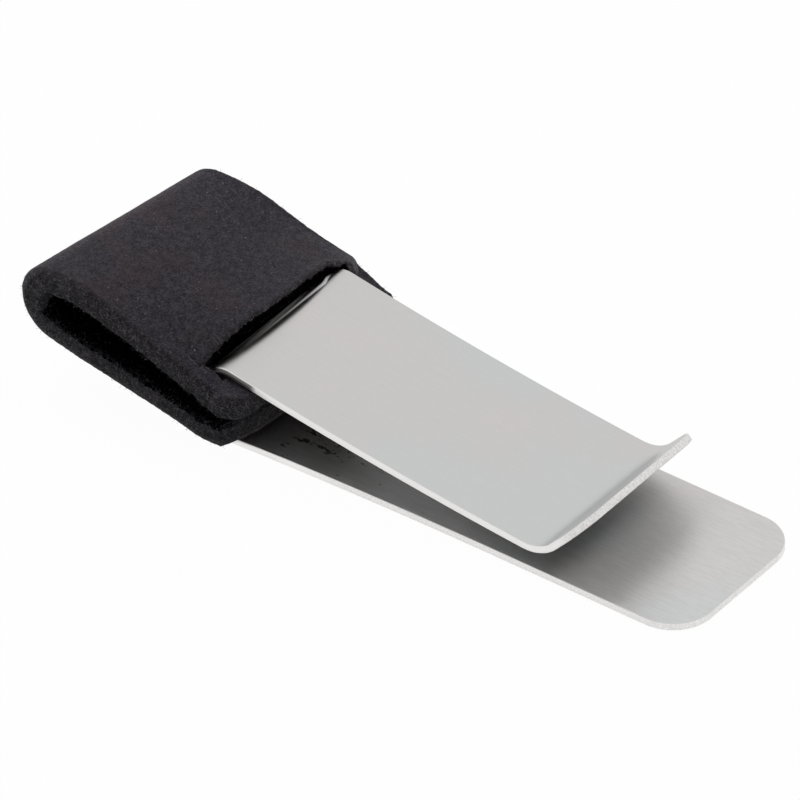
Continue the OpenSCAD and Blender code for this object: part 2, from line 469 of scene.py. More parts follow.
@dataclass(frozen=True)
class Nubuck:
    """Matt black leather with a raised nap, and raw fibrous cut edges.

    A field that ends in edge is where a noise turns from one colour into the other.
    """

    name: str = "black_nubuck"
    dark: Color = (0.012, 0.0112, 0.015)
    light: Color = (0.066, 0.058, 0.07)
    brown: Color = (0.058, 0.041, 0.043)
    fleck: Color = (0.3, 0.29, 0.3)
    # The dark between the raw edge's fibres, which also paints the shade inside the loop and its slots.
    pit_and_painted_shade: Color = (0.0012, 0.0011, 0.0014)
    fibre: Color = (0.25, 0.23, 0.27)
    curl: Color = (0.4, 0.38, 0.41)
    nap: Grain = Grain(5200, 3, 0.7)
    grain: Grain = Grain(1500, 4, 0.65)
    grain_share: float = 0.5
    tone_edge: Span = (0.58, 0.94)
    cloud: Grain = Grain(150, 3, 0.6)
    cloud_edge: Span = (0.45, 0.8)
    cloud_share: float = 0.6
    flecks: Grain = Grain(4100)
    fleck_edge: Span = (0.69, 0.75)
    fleck_share: float = 0.6
    strand: Grain = Grain(4600, 5, 0.85)
    clump: Grain = Grain(1100)
    clump_share: float = 0.3
    strand_edge: Span = (0.68, 0.84)
    curls: Grain = Grain(1700, 2, 0.55)
    curl_edge: Span = (0.0, 0.022)
    curl_share: float = 0.75
    nap_depth: float = 1.2e-4
    grain_depth: float = 2e-4
    fibre_depth: float = 5e-4
    roughness: float = 0.85
    sheen: float = 0.3
    sheen_rough: float = 0.28
    sheen_tint: Color = (0.8, 0.75, 0.8)
    gloss: float = 0.2

    def top(self, s: Shader, point, nap, grain) -> Socket:
        """The colour of the grain side.

        Args:
            s: The material's shader.
            point: Where to read it.
            nap: The nap's noise.
            grain: The grain's noise.

        Returns:
            The colour.
        """
        tone = s.span(s.plus(nap, grain, self.grain_share), *self.tone_edge)
        color = s.mix(tone, self.dark, self.light)
        cloud = s.span(s.noise(point, self.cloud), *self.cloud_edge, 0, self.cloud_share)
        dots = s.span(s.noise(point, self.flecks), *self.fleck_edge)
        color = s.mix(cloud, color, self.brown)
        return s.mix(s.math("MULTIPLY", dots, self.fleck_share), color, self.fleck)

    def raw(self, s: Shader, point, strand) -> Socket:
        """The colour of a raw edge.

        Args:
            s: The material's shader.
            point: Where to read it.
            strand: The strands' noise.

        Returns:
            The colour.
        """
        threads = s.plus(strand, s.noise(point, self.clump), self.clump_share)
        color = s.mix(s.span(threads, *self.strand_edge), self.pit_and_painted_shade, self.fibre)
        curl = s.math("ABSOLUTE", s.math("SUBTRACT", s.noise(point, self.curls), 0.5))
        curl = s.span(curl, *self.curl_edge, 1, 0)
        return s.mix(s.math("MULTIPLY", curl, self.curl_share), color, self.curl)

    def material(self) -> bpy.types.Material:
        """Builds the material.

        Returns:
            The leather's material.
        """
        s = Shader.material(self.name)
        point = s.object_point()
        nap, grain, strand = (s.noise(point, g) for g in (self.nap, self.grain, self.strand))
        cut = s.attribute("cut_edge")
        color = s.mix(cut, self.top(s, point, nap, grain), self.raw(s, point, strand))
        # Painted shade: the inside attribute darkens the leather towards near black inside the loop and
        # its slots.
        color = s.mix(s.attribute("inside"), color, self.pit_and_painted_shade)
        normal = s.bump(nap, self.nap_depth, 0.7)
        normal = s.bump(grain, self.grain_depth, 0.35, normal)
        normal = s.bump(s.math("MULTIPLY", strand, cut), self.fibre_depth, 1.0, normal)
        shader = s.node(
            "BsdfPrincipled",
            {
                "Base Color": color,
                "Roughness": self.roughness,
                "Specular IOR Level": self.gloss,
                "Sheen Weight": self.sheen,
                "Sheen Roughness": self.sheen_rough,
                "Sheen Tint": self.sheen_tint,
                "Normal": normal,
            },
        )
        return s.finish(shader)


@dataclass(frozen=True)
class Fuzz:
    """Loose fibres that stand out of a raw leather edge.

    The density is per square metre, and length and radius are in millimetres.
    """

    name: str = "leather_fibre"
    dark: Color = (0.04, 0.038, 0.044)
    light: Color = (0.3, 0.29, 0.32)
    tone: Grain = Grain(1400, 3, 0.6)
    tone_edge: Span = (0.42, 0.7)
    roughness: float = 0.8
    at_grain: float = 0.3
    at_flesh: float = 0.08
    density: float = 1.4e7
    length: float = 0.62
    radius: float = 0.015
    seed: int = 5

    def material(self) -> bpy.types.Material:
        """The fibres' material."""
        s = Shader.material(self.name)
        tone = s.span(s.noise(s.object_point(), self.tone), *self.tone_edge)
        color = s.mix(tone, self.dark, self.light)
        return s.finish(s.node("BsdfPrincipled", {"Base Color": color, "Roughness": self.roughness}))


# ---------------------------------------------------------------- node trees


class Tree(Nodes):
    """Builds one Geometry Nodes tree, and runs it on a mesh."""

    def __init__(self, name: str, inputs: dict[str, Kind]) -> None:
        """Starts a tree.

        Args:
            name: The tree's name.
            inputs: Name to kind of each input after the geometry.
        """
        super().__init__(bpy.data.node_groups.new(name, "GeometryNodeTree"))
        face = self.tree.interface
        face.new_socket("Geometry", in_out="OUTPUT", socket_type=Kind.GEOMETRY.value)
        face.new_socket("Geometry", in_out="INPUT", socket_type=Kind.GEOMETRY.value)
        self.sockets = {
            key: face.new_socket(key, in_out="INPUT", socket_type=kind.value).identifier
            for key, kind in inputs.items()
        }
        self.source = self.node("NodeGroupInput").outputs

    def vector(self, operation: str, a, b) -> Socket:
        """One vector sum on a and b, or a scaled by b."""
        second = 3 if operation == "SCALE" else 1
        made = self.node("ShaderNodeVectorMath", {0: a, second: b}, operation=operation)
        return made.outputs[0]

    def close(self, geometry: Socket) -> None:
        """Ends the tree in Realize Instances and Set Material."""
        real = self.node("GeometryNodeRealizeInstances", {"Geometry": geometry})
        dressed = self.node(
            "GeometryNodeSetMaterial", {"Geometry": real.outputs[0], "Material": self.source["Material"]}
        )
        self.node("NodeGroupOutput", {0: dressed.outputs[0]})

    def baked(self, mesh: Mesh, name: str, values: dict) -> bpy.types.Object:
        """Runs the tree on a mesh and keeps the result as a plain mesh.

        Args:
            mesh: What goes in.
            name: The finished piece's name.
            values: Input name to value.

        Returns:
            The finished piece.
        """
        piece = add_object(name, mesh)
        modifier = piece.modifiers.new("tree", "NODES")
        modifier.node_group = self.tree
        for key, value in values.items():
            modifier[self.sockets[key]] = value
        bpy.context.view_layer.update()
        evaluated = piece.evaluated_get(bpy.context.evaluated_depsgraph_get())
        plain = bpy.data.meshes.new_from_object(evaluated)
        piece.modifiers.remove(modifier)
        piece.data = plain
        plain.name = name
        return piece


class BendTree(Tree):
    """Wraps a flat blank along a path, as a press brake bends a strip."""

    def __init__(self) -> None:
        """Builds the tree: x becomes length along the path, z lies to the path's left."""
        super().__init__("bend_blank", {"Path": Kind.OBJECT, "Material": Kind.MATERIAL})
        path = self.node("GeometryNodeObjectInfo", {"Object": self.source["Path"]})
        at = self.node("ShaderNodeSeparateXYZ", {0: self.node("GeometryNodeInputPosition").outputs[0]})
        sample = self.node(
            "GeometryNodeSampleCurve",
            {"Curves": path.outputs["Geometry"], "Length": at.outputs[0]},
            mode="LENGTH",
            use_all_curves=True,
        )
        left = self.vector("CROSS_PRODUCT", sample.outputs["Tangent"], (0, 1, 0))
        left = self.vector("NORMALIZE", left, (0, 0, 0))
        across = self.node("ShaderNodeCombineXYZ", {1: at.outputs[1]}).outputs[0]
        place = self.vector("ADD", sample.outputs["Position"], across)
        place = self.vector("ADD", place, self.vector("SCALE", left, at.outputs[2]))
        moved = self.node(
            "GeometryNodeSetPosition", {"Geometry": self.source["Geometry"], "Position": place}
        )
        self.close(moved.outputs[0])


class FibreTree(Tree):
    """Scatters short curved fibres over the raw edges of a piece.

    The tip, the bend and the root are places on a fibre, as shares of its length. The tilts are
    in radians. Tilts and sizes each go from a lowest to a highest vector.
    """

    tip = (0.55, 0.1, 0.72)
    bend = 0.6
    root = -0.15
    tilts = (-1.0, -1.0, 0.0), (1.0, 1.0, 2 * math.pi)
    sizes = (0.4, 0.4, 0.25), (1.0, 1.0, 1.0)

    def __init__(self) -> None:
        """Builds the tree: points where the mask is high, each with one bent fibre."""
        kinds = {
            "Density": Kind.FLOAT,
            "Length": Kind.FLOAT,
            "Radius": Kind.FLOAT,
            "Seed": Kind.INT,
            "Material": Kind.MATERIAL,
        }
        super().__init__("edge_fibres", kinds)
        mask = self.node("GeometryNodeInputNamedAttribute", {"Name": "fuzz"}, data_type="FLOAT")
        inputs = {0: mask.outputs[0], 1: self.source["Density"]}
        density = self.node("ShaderNodeMath", inputs, operation="MULTIPLY").outputs[0]
        inputs = {"Mesh": self.source["Geometry"], "Density": density, "Seed": self.source["Seed"]}
        points = self.node("GeometryNodeDistributePointsOnFaces", inputs).outputs
        tilt = self.node("FunctionNodeEulerToRotation", {0: self.random_vector(*self.tilts, 3)})
        turned = self.node(
            "FunctionNodeRotateRotation",
            {0: points["Rotation"], 1: tilt.outputs[0]},
            rotation_space="LOCAL",
        )
        grown = self.node(
            "GeometryNodeInstanceOnPoints",
            {
                "Points": points[0],
                "Instance": self.strand(),
                "Rotation": turned.outputs[0],
                "Scale": self.random_vector(*self.sizes, 7),
            },
        )
        self.close(grown.outputs[0])

    def strand(self) -> Socket:
        """One fibre: a thin three-sided tube along a bent line, standing along Z."""
        up = self.node("ShaderNodeCombineXYZ", {2: self.source["Length"]}).outputs[0]
        line = self.node(
            "GeometryNodeCurveQuadraticBezier",
            {
                "Resolution": 4,
                "Start": self.vector("SCALE", up, self.root),
                "Middle": self.vector("SCALE", up, self.bend),
                "End": self.vector("SCALE", self.tip, self.source["Length"]),
            },
        )
        size = {"Resolution": 3, "Radius": self.source["Radius"]}
        ring = self.node("GeometryNodeCurvePrimitiveCircle", size, mode="RADIUS")
        tube = self.node(
            "GeometryNodeCurveToMesh",
            {"Curve": line.outputs[0], "Profile Curve": ring.outputs[0], "Fill Caps": True},
        )
        return tube.outputs[0]

    def random_vector(self, low: Color, high: Color, seed: int) -> Socket:
        """A random vector for each point."""
        inputs = {0: low, 1: high, "Seed": seed}
        return self.node("FunctionNodeRandomValue", inputs, data_type="FLOAT_VECTOR").outputs[0]


# ---------------------------------------------------------------- steel strip


@dataclass(frozen=True)
class Blank:
    """A flat steel blank: x along the strip, y across it, z through it, in millimetres."""

    length: float
    width: float
    thickness: float
    corner_r: float
    edge_r: float = 0.13
    pitch: float = 0.25
    edge_rings: int = 4
    strips: int = 10
    support: float = 0.05

    def columns(self) -> list[Point]:
        """Where the face's cross rows lie, and how far each reaches to a side.

        Returns:
            (place along the strip, half width) of each row, from the square end to the round one.
        """
        half, round_r = self.width / 2 - self.edge_r, self.corner_r - self.edge_r
        last = self.length - self.corner_r
        count = math.ceil((last - self.edge_r) / self.pitch)
        rows = [(self.edge_r + (last - self.edge_r) * i / count, half) for i in range(count + 1)]
        turns = math.ceil(round_r * math.pi / 2 / self.pitch)
        angles = [math.pi / 2 * i / turns for i in range(1, turns + 1)]
        angles.insert(-1, math.acos(min(1, self.support / round_r)))
        for a in sorted(angles):
            rows.append((last + round_r * math.sin(a), half - round_r * (1 - math.cos(a))))
        return rows

    def face(self) -> np.ndarray:
        """The face's grid of (x, y), short of the rounded edge."""
        grid = []
        for x, half in self.columns():
            inner = np.linspace(self.support - half, half - self.support, self.strips + 1)
            grid.append([(x, y) for y in (-half, *inner, half)])
        return np.array(grid)

    @staticmethod
    def border(n: int, m: int) -> list[int]:
        """The points round the rim of a face that has n rows of m points, in order."""
        return (
            [i * m for i in range(n)]
            + [(n - 1) * m + k for k in range(1, m)]
            + [i * m + m - 1 for i in range(n - 2, -1, -1)]
            + [k for k in range(m - 2, 0, -1)]
        )

    def rings(self) -> list[Point]:
        """How far out and how high each ring of the rounded edge lies, from top to bottom."""
        top, r, steps = self.thickness / 2, self.edge_r, range(1, self.edge_rings + 1)
        angles = [math.radians(90 * i / self.edge_rings) for i in steps]
        above = [(r * math.sin(a), top - r * (1 - math.cos(a))) for a in angles]
        return above + [(out, -z) for out, z in reversed(above)]

    def mesh(self, name: str, dress: Callable[[Mesh, np.ndarray], None]) -> Mesh:
        """Builds the blank, with its edges rounded.

        Args:
            name: The mesh's name.
            dress: Stores the blank's own attributes, given the mesh and its flat points.

        Returns:
            The mesh, in metres.
        """
        grid, rings = self.face(), self.rings()
        n, m = grid.shape[:2]
        size, flat = n * m, grid.reshape(-1, 2)
        border = self.border(n, m)
        count, rim = len(border), flat[border]
        along = np.roll(rim, -1, axis=0) - np.roll(rim, 1, axis=0)
        out = np.stack([along[:, 1], -along[:, 0]], axis=1)
        out /= np.linalg.norm(out, axis=1)[:, None]
        heights = (self.thickness / 2, -self.thickness / 2)
        points = [np.column_stack([flat, np.full(size, z)]) for z in heights]
        points += [np.column_stack([rim + out * d, np.full(count, z)]) for d, z in rings]
        points = np.concatenate(points)

        faces = []
        for a in (i * m + k for i in range(n - 1) for k in range(m - 1)):
            ring = (a, a + m, a + m + 1, a + 1)
            faces += [ring, tuple(size + v for v in reversed(ring))]
        starts = [2 * size + i * count for i in range(len(rings))]
        edge = [range(start, start + count) for start in starts]
        loops = [border, *edge, [size + b for b in border]]
        for upper, lower in zip(loops, loops[1:]):
            for b in range(count):
                c = (b + 1) % count
                faces.append((upper[b], lower[b], lower[c], upper[c]))
        made = bpy.data.meshes.new(name)
        made.from_pydata((points * MM).tolist(), [], faces)
        made.shade_smooth()
        mask = np.zeros(len(points))
        mask[starts[1] : starts[-1]] = 1
        store(made, "cut_edge", mask)
        dress(made, points)
        return made


def store(mesh: Mesh, name: str, values: np.ndarray) -> None:
    """Stores one number on each point of a mesh."""
    mesh.attributes.new(name, "FLOAT", "POINT").data.foreach_set("value", values.astype(np.float32))


def store_uv(mesh: Mesh, name: str, values: np.ndarray) -> None:
    """Stores a UV map, from one (u, v) on each point."""
    layer = mesh.uv_layers.new(name=name)
    corners = np.zeros(len(mesh.loops), np.int32)
    mesh.loops.foreach_get("vertex_index", corners)
    layer.data.foreach_set("uv", values[corners].astype(np.float32).ravel())


@dataclass(frozen=True)
class DyeBand:
    """Where the leather's dye has marked the lower jaw, in millimetres."""

    middle: float = 11
    half: float = 8
    line_y: float = -6.2
    line_slope: float = 0.12
    line_from: float = 4
    line_reach: float = 4
    spread: float = 0.35

    def share(self, along: np.ndarray, across: np.ndarray) -> np.ndarray:
        """How much dye there is at each point, from 0 to 1."""
        line = self.line_y + self.line_slope * (along - self.line_from)
        near = np.clip(1 - np.abs(across - line) / self.line_reach, 0, 1)
        fade = np.clip(1.5 - np.abs(along - self.middle) / self.half, 0, 1)
        return fade * (self.spread + (1 - self.spread) * near)


@dataclass
class SteelStrip:
    """The strip: a long lower jaw, the bend, and the upper jaw with its fold and lip."""

    width: float = 20.0
    thickness: float = 0.8
    bend_r: float = 2.0
    wall_h: float = 3.25
    lower_path: tuple[Stretch, ...] = (Stretch(33.1, -2.87), Stretch(21.9))
    lower_rise: float = 2.00484
    lower_corner_r: float = 4.6
    upper_slope: float = 10.7
    upper_len: float = 35.7
    upper_bow: float = 4.9
    fold_r: float = 4.5
    lip_angle: float = 47.2
    lip_len: float = 4.9
    lip_corner_r: float = 3.4
    # Where the painted highlight sits round the bend, in degrees back from its end.
    highlight_angle: float = 15.0
    path_pitch: float = 0.06
    torn_share: float = 0.75
    torn_from: float = 8
    torn_grows: float = 6
    torn_end: float = 4
    torn_end_grows: float = 2
    dark_edge_share: float = 0.9
    dark_edge_reach: float = 3.2
    dark_edge_fade: float = 0.6
    edge_at: float = -9.85
    edge_fade: float = 0.1
    under: float = 0.06
    under_fade: float = 0.08
    dye: DyeBand = DyeBand()
    steel: BrushedSteel = field(default_factory=BrushedSteel)
    place: Profile = field(init=False)

    def __post_init__(self) -> None:
        """Finds the strip's place in the frame."""
        self.place = Profile.from_hinge(self.root().x)

    @property
    def mid_r(self) -> float:
        """Radius of the bend's corners at mid thickness."""
        return self.bend_r + self.thickness / 2

    @property
    def centres(self) -> tuple[float, float]:
        """Heights of the bend's lower and upper corner centres."""
        low = self.bend_r + self.thickness
        return low, low + self.wall_h

    def root(self) -> Pose:
        """Where the upper jaw leaves the bend, which is its hinge."""
        slope = math.radians(self.upper_slope)
        return Pose(
            self.mid_r * math.sin(slope),
            self.centres[1] + self.mid_r * math.cos(slope),
            -self.upper_slope,
        )

    def lower_root(self) -> Pose:
        """Where the lower jaw leaves the bend."""
        rise = math.radians(self.lower_rise)
        return Pose(
            self.mid_r * math.sin(rise), self.centres[0] - self.mid_r * math.cos(rise), self.lower_rise
        )

    def upper_path(self) -> list[Stretch]:
        """The path from the lower jaw's root round the bend to the lip."""
        return [
            Stretch.bent(self.mid_r, -(90 + self.lower_rise)),
            Stretch(self.wall_h),
            Stretch.bent(self.mid_r, -(90 + self.upper_slope)),
            Stretch(self.upper_len, self.upper_bow),
            Stretch.bent(self.fold_r, self.lip_angle + self.upper_slope - self.upper_bow),
            Stretch(self.lip_len),
        ]

    def crest_end(self) -> float:
        """Length of the path as far as the end of the bend."""
        return sum(s.length for s in self.upper_path()[:3])

    def bent(
        self,
        name: str,
        start: Pose,
        path: Sequence[Stretch],
        corner_r: float,
        steel: BrushedSteel,
        dress: Callable[[Mesh, np.ndarray], None],
    ) -> bpy.types.Object:
        """Bends a blank along a path.

        Args:
            name: The piece's name.
            start: Where the path begins.
            path: Its stretches.
            corner_r: Radius of the two free corners.
            steel: The finish.
            dress: Stores the blank's own attributes.

        Returns:
            The piece.
        """
        poses = path_poses(start, path, self.path_pitch)
        line = bpy.data.curves.new(name + "_path", "CURVE")
        line.dimensions = "3D"
        spline = line.splines.new("POLY")
        spline.points.add(len(poses) - 1)
        for point, pose in zip(spline.points, poses):
            point.co = (*self.place.placed(pose.x, 0, pose.z), 1)
        guide = add_object(line.name, line)
        blank = Blank(sum(s.length for s in path), self.width, self.thickness, corner_r)
        values = {"Path": guide, "Material": steel.material()}
        piece = BendTree().baked(blank.mesh(name, dress), name, values)
        bpy.data.objects.remove(guide)
        bpy.data.curves.remove(line)
        return piece

    def dress_lower(self, mesh: Mesh, points: np.ndarray) -> None:
        """Stores the lower jaw's grain map, its torn edge and where dye has stained it."""
        along = points[:, 0]
        store_uv(mesh, "blank", points[:, 1::-1] * MM)
        store(mesh, "torn", np.clip((along - self.torn_from) / self.torn_grows, 0, 1) * self.torn_share)
        top = points[:, 2] > self.thickness / 2 - TOUCH
        store(mesh, "stain", self.dye.share(along, points[:, 1]) * top)

    def dress_upper(self, mesh: Mesh, points: np.ndarray) -> None:
        """Stores the upper jaw's grain map, its torn end edge and a darker lower part of its near edge by
        the leather.
        """
        along = points[:, 0]
        store_uv(mesh, "blank", points[:, 1::-1] * MM)
        end = along.max() - self.torn_end
        store(mesh, "torn", np.clip((along - end) / self.torn_end_grows, 0, 1))
        # Darker on the lower part of the near edge, round the bend and a little past it, beside the
        # leather.
        near = np.clip((self.edge_at - points[:, 1]) / self.edge_fade, 0, 1)
        lower = np.clip((self.thickness / 2 - self.under - points[:, 2]) / self.under_fade, 0, 1)
        clear = self.crest_end() + self.dark_edge_reach
        fade = np.clip((clear - along) / self.dark_edge_fade, 0, 1)
        store(mesh, "stain", self.dark_edge_share * near * lower * fade)

    def build(self) -> None:
        """Builds both pieces and sets the lower jaw on its body."""
        stained = BrushedSteel(
            name="brushed_steel_stained", stains=True, roughness=0.34, anisotropy=0.8, streak=0.055
        )
        lower = self.bent(
            "lower_jaw_strip",
            self.lower_root(),
            self.lower_path,
            self.lower_corner_r,
            stained,
            self.dress_lower,
        )
        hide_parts("lower_jaw")
        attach(lower, Body.LOWER.value)
        log.info("%s: %d faces", lower.name, len(lower.data.polygons))

        back = Pose(self.lower_root().x, self.lower_root().z, self.lower_rise + 180)
        # The painted highlight lies this far back round the bend from its end.
        crest = self.crest_end() - self.mid_r * math.radians(self.upper_slope + self.highlight_angle)
        upper = self.bent(
            "bend_and_upper_jaw",
            back,
            self.upper_path(),
            self.lip_corner_r,
            replace(self.steel, name="brushed_steel_rubbed", highlight_at=crest),
            self.dress_upper,
        )
        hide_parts("spring_bend", "upper_jaw")
        root, place = self.root(), self.place
        place.placed(root.x - 0.3, 0, root.z)
        place.placed(root.x + 2.5, 0, root.z)
        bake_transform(upper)
        log.info("%s: %d faces", upper.name, len(upper.data.polygons))


# ---------------------------------------------------------------- leather loop


@dataclass(frozen=True)
class Corner:
    """A corner of the leather's side profile, at mid thickness."""

    x: float
    z: float
    radius: float = 0.0


@dataclass(frozen=True)
class Side:
    """The leather's side profile along one of its long edges."""

    corners: tuple[Corner, ...]
    slot_back_top: float
    slot_back_bottom: float


@dataclass(frozen=True)
class Rough:
    """How uneven the leather's faces are, in millimetres, and how raw its edges look.

    The raw edge's inner lip stands out more by a gain and is then pulled in.
    """

    lump: float = 0.17
    tooth: float = 0.09
    lip_gain: float = 1.7
    lip_pull: float = 0.05
    flesh: float = 0.12
    wave: float = 0.035
    grain: float = 0.012
    worn: float = 0.07
    raw_top: float = 0.8
    raw_worn: float = 0.6

    def lumps(self, at: Vector, octaves: int, pitch: float, drop: float = 0.8) -> float:
        """Fractal noise at a point, from a pitch per millimetre and how much each octave drops."""
        return noise.fractal(at * pitch, drop, 2.1, octaves)

    def raw(self, at: Vector, lip: bool) -> float:
        """How far a point of a raw edge stands out, or of its inner lip."""
        out = self.lumps(at, 4, 1.6) * self.lump + noise.noise(at * 5.5) * self.tooth
        return out * self.lip_gain - self.lip_pull if lip else out

    def inner(self, at: Vector) -> float:
        """How far a point of the flesh side stands out."""
        return self.lumps(at, 3, 1.3) * self.flesh

    def outer(self, at: Vector, worn: float) -> float:
        """How far a point of the grain side stands out, more where it is worn."""
        grain = noise.noise(at * 0.3) * self.wave + noise.noise(at * 1.7) * self.grain
        return grain + self.lumps(at, 3, 2.2, 0.9) * self.worn * worn


@dataclass(frozen=True)
class Shade:
    """The painted shade: how dark the leather is painted inside the loop and its slots.

    The top, its fall from the fold to the tabs, the soft edge and the depth are in millimetres.
    The rest are shares.
    """

    top: float = 10.2
    fall: float = 6.2
    soft: float = 1.2
    depth: float = 3.6
    cut: float = 0.6
    layer_from: float = 0.2
    gain: float = 2.5
    darkest: float = 0.95
    dull_from: float = 0.45


@dataclass
class LeatherLoop:
    """The folded leather strip, with one slot near each end for the bend to pass through."""

    thickness: float = 2.7
    near_y: float = -12.6
    far_y: float = 13.0
    slot_half: float = 10.15
    slot_front: float = -0.5
    tab_corner_r: float = 2.3
    tab_bow: float = 2.0
    tab_bow_power: float = 3.3
    worn_r: float = 0.7
    slot_r: float = 0.25
    flesh_r: float = 0.3
    steel: SteelStrip = field(default_factory=SteelStrip)
    clearance: float = 0.28
    press_reach: float = 0.4
    press_front: float = 0.3
    side_front: float = 1.0
    side_reach: float = 0.3
    corner_push: float = 1.1
    corner_from: float = 8.5
    corner_width: float = 1.5
    corner_end: float = 0.8
    corner_fade: float = 1.8
    pitch: float = 0.27
    layers: int = 9
    slot_margin: int = 3
    arch_height: float = 2.6
    arch_forward: float = 1.6
    arch_middle: float = -0.5
    arch_half: float = 12.5
    arch_near: float = 10.2
    arch_far: float = 13.3
    arch_fullness: float = 2.8
    arch_reach: float = 14.0
    arch_power: float = 1.25
    skive: float = 0.8
    skive_reach: float = 3.0
    leather: Nubuck = field(default_factory=Nubuck)
    fuzz: Fuzz = field(default_factory=Fuzz)
    rough: Rough = Rough()
    shade: Shade = Shade()
    near: Side = Side(
        (
            Corner(3.1, 6.2),
            Corner(0.2, 6.45, 6),
            Corner(-16.3, 12.5, 9),
            Corner(-22.05, 12.5, 2.5),
            Corner(-22.05, 7.45, 3.0),
            Corner(-15.5, 5.7, 14),
            Corner(-7.5, 4.05, 20),
            Corner(-4.2, 3.3, 12),
            Corner(-1.4, 2.5, 4),
            Corner(3.1, 2.52),
        ),
        slot_back_top=-3.2,
        slot_back_bottom=-3.35,
    )
    far: Side = Side(
        (
            Corner(4.1, 3.6),
            Corner(-0.7, 6.1, 9),
            Corner(-14.0, 10.4, 14),
            Corner(-20.35, 10.3, 2.6),
            Corner(-20.3, 4.95, 2.5),
            Corner(-11.0, 4.55, 20),
            Corner(-5.2, 3.3, 20),
            Corner(0.0, 2.4, 6),
            Corner(3.1, 2.6),
        ),
        slot_back_top=-2.1,
        slot_back_bottom=-3.35,
    )

    @staticmethod
    def line(corners: Sequence[Corner]) -> np.ndarray:
        """A fine line through rounded corners.

        Args:
            corners: The corners, each with its rounding radius.

        Returns:
            The line's points.
        """
        spots = [Vector((c.x, c.z)) for c in corners]
        points = [spots[0]]
        for i in range(1, len(corners) - 1):
            back = (spots[i - 1] - spots[i]).normalized()
            ahead = (spots[i + 1] - spots[i]).normalized()
            opening = back.angle(ahead)
            trim = corners[i].radius / math.tan(opening / 2)
            middle = spots[i] + (back + ahead).normalized() * corners[i].radius / math.sin(opening / 2)
            a, b = spots[i] + back * trim - middle, spots[i] + ahead * trim - middle
            sweep = a.angle_signed(b)
            count = max(2, math.ceil(abs(sweep) * STEPS_PER_RADIAN))
            for k in range(count + 1):
                points.append(middle + Matrix.Rotation(-sweep * k / count, 2) @ a)
        points.append(spots[-1])
        return np.array([tuple(p) for p in points])

    def stations(self, side: Side) -> np.ndarray:
        """Lengths along a side at its ends, both slots and the back of the fold.

        Args:
            side: The side profile.

        Returns:
            Seven lengths, in order.
        """
        line = self.line(side.corners)
        lengths = self.lengths(line)
        fold = int(np.argmin(line[:, 0]))
        x, top, bottom = line[:, 0], slice(0, fold + 1), slice(fold, len(line))
        at_top = np.interp([-self.slot_front, -side.slot_back_top], -x[top], lengths[top])
        at_bottom = np.interp([side.slot_back_bottom, self.slot_front], x[bottom], lengths[bottom])
        return np.array([0, *at_top, lengths[fold], *at_bottom, lengths[-1]])

    @staticmethod
    def lengths(line: np.ndarray) -> np.ndarray:
        """Length along a line at each of its points."""
        return np.concatenate([[0], np.cumsum(np.linalg.norm(np.diff(line, axis=0), axis=1))])

    def counts(self) -> list[int]:
        """Cells between the stations, the same from the near edge to the far one."""
        near, far = (np.diff(self.stations(side)) for side in (self.near, self.far))
        return [max(4, round(float(a + b) / 2 / self.pitch)) for a, b in zip(near, far)]

    def across(self) -> np.ndarray:
        """Where the rows lie across the strip, with a row at each end of the slots."""
        marks = [self.near_y, -self.slot_half, self.slot_half, self.far_y]
        rows = []
        for a, b in zip(marks, marks[1:]):
            rows += list(np.linspace(a, b, round((b - a) / self.pitch) + 1)[:-1])
        return np.array(rows + [self.far_y])

    def tab_trims(self, y: np.ndarray) -> tuple[np.ndarray, np.ndarray]:
        """How much shorter each tab is at each row.

        Args:
            y: The rows.

        Returns:
            The upper tab's trim, for its round corners, and the lower tab's, for its bowed end.
        """
        r = self.tab_corner_r
        inside = np.maximum(self.near_y + r - y, y - (self.far_y - r))
        depth = np.clip(inside, 0, r)
        middle, half = (self.near_y + self.far_y) / 2, (self.far_y - self.near_y) / 2
        bow = self.tab_bow * (np.abs(y - middle) / half) ** self.tab_bow_power
        return r - np.sqrt(r * r - depth * depth), bow

    def middle(self) -> np.ndarray:
        """The strip's middle surface, before the slot has opened.

        Returns:
            A grid of (x, y, z), along the strip and then across it.
        """
        y = self.across()
        share = (y - self.near_y) / (self.far_y - self.near_y)
        sides = []
        for side in (self.near, self.far):
            line = self.line(side.corners)
            lengths, marks = self.lengths(line), self.stations(side)
            columns = []
            for top_cut, bottom_cut in zip(*self.tab_trims(y)):
                ends = marks.copy()
                ends[0] += top_cut
                ends[-1] -= bottom_cut
                places = [
                    np.linspace(a, b, n + 1)[:-1] for a, b, n in zip(ends, ends[1:], self.counts())
                ]
                places = np.concatenate([*places, ends[-1:]])
                columns.append([np.interp(places, lengths, line[:, i]) for i in (0, 1)])
            sides.append(np.array(columns).transpose(2, 0, 1))
        flat = sides[0] * (1 - share)[None, :, None] + sides[1] * share[None, :, None]
        return np.stack([flat[..., 0], np.broadcast_to(y, flat.shape[:2]), flat[..., 1]], axis=-1)

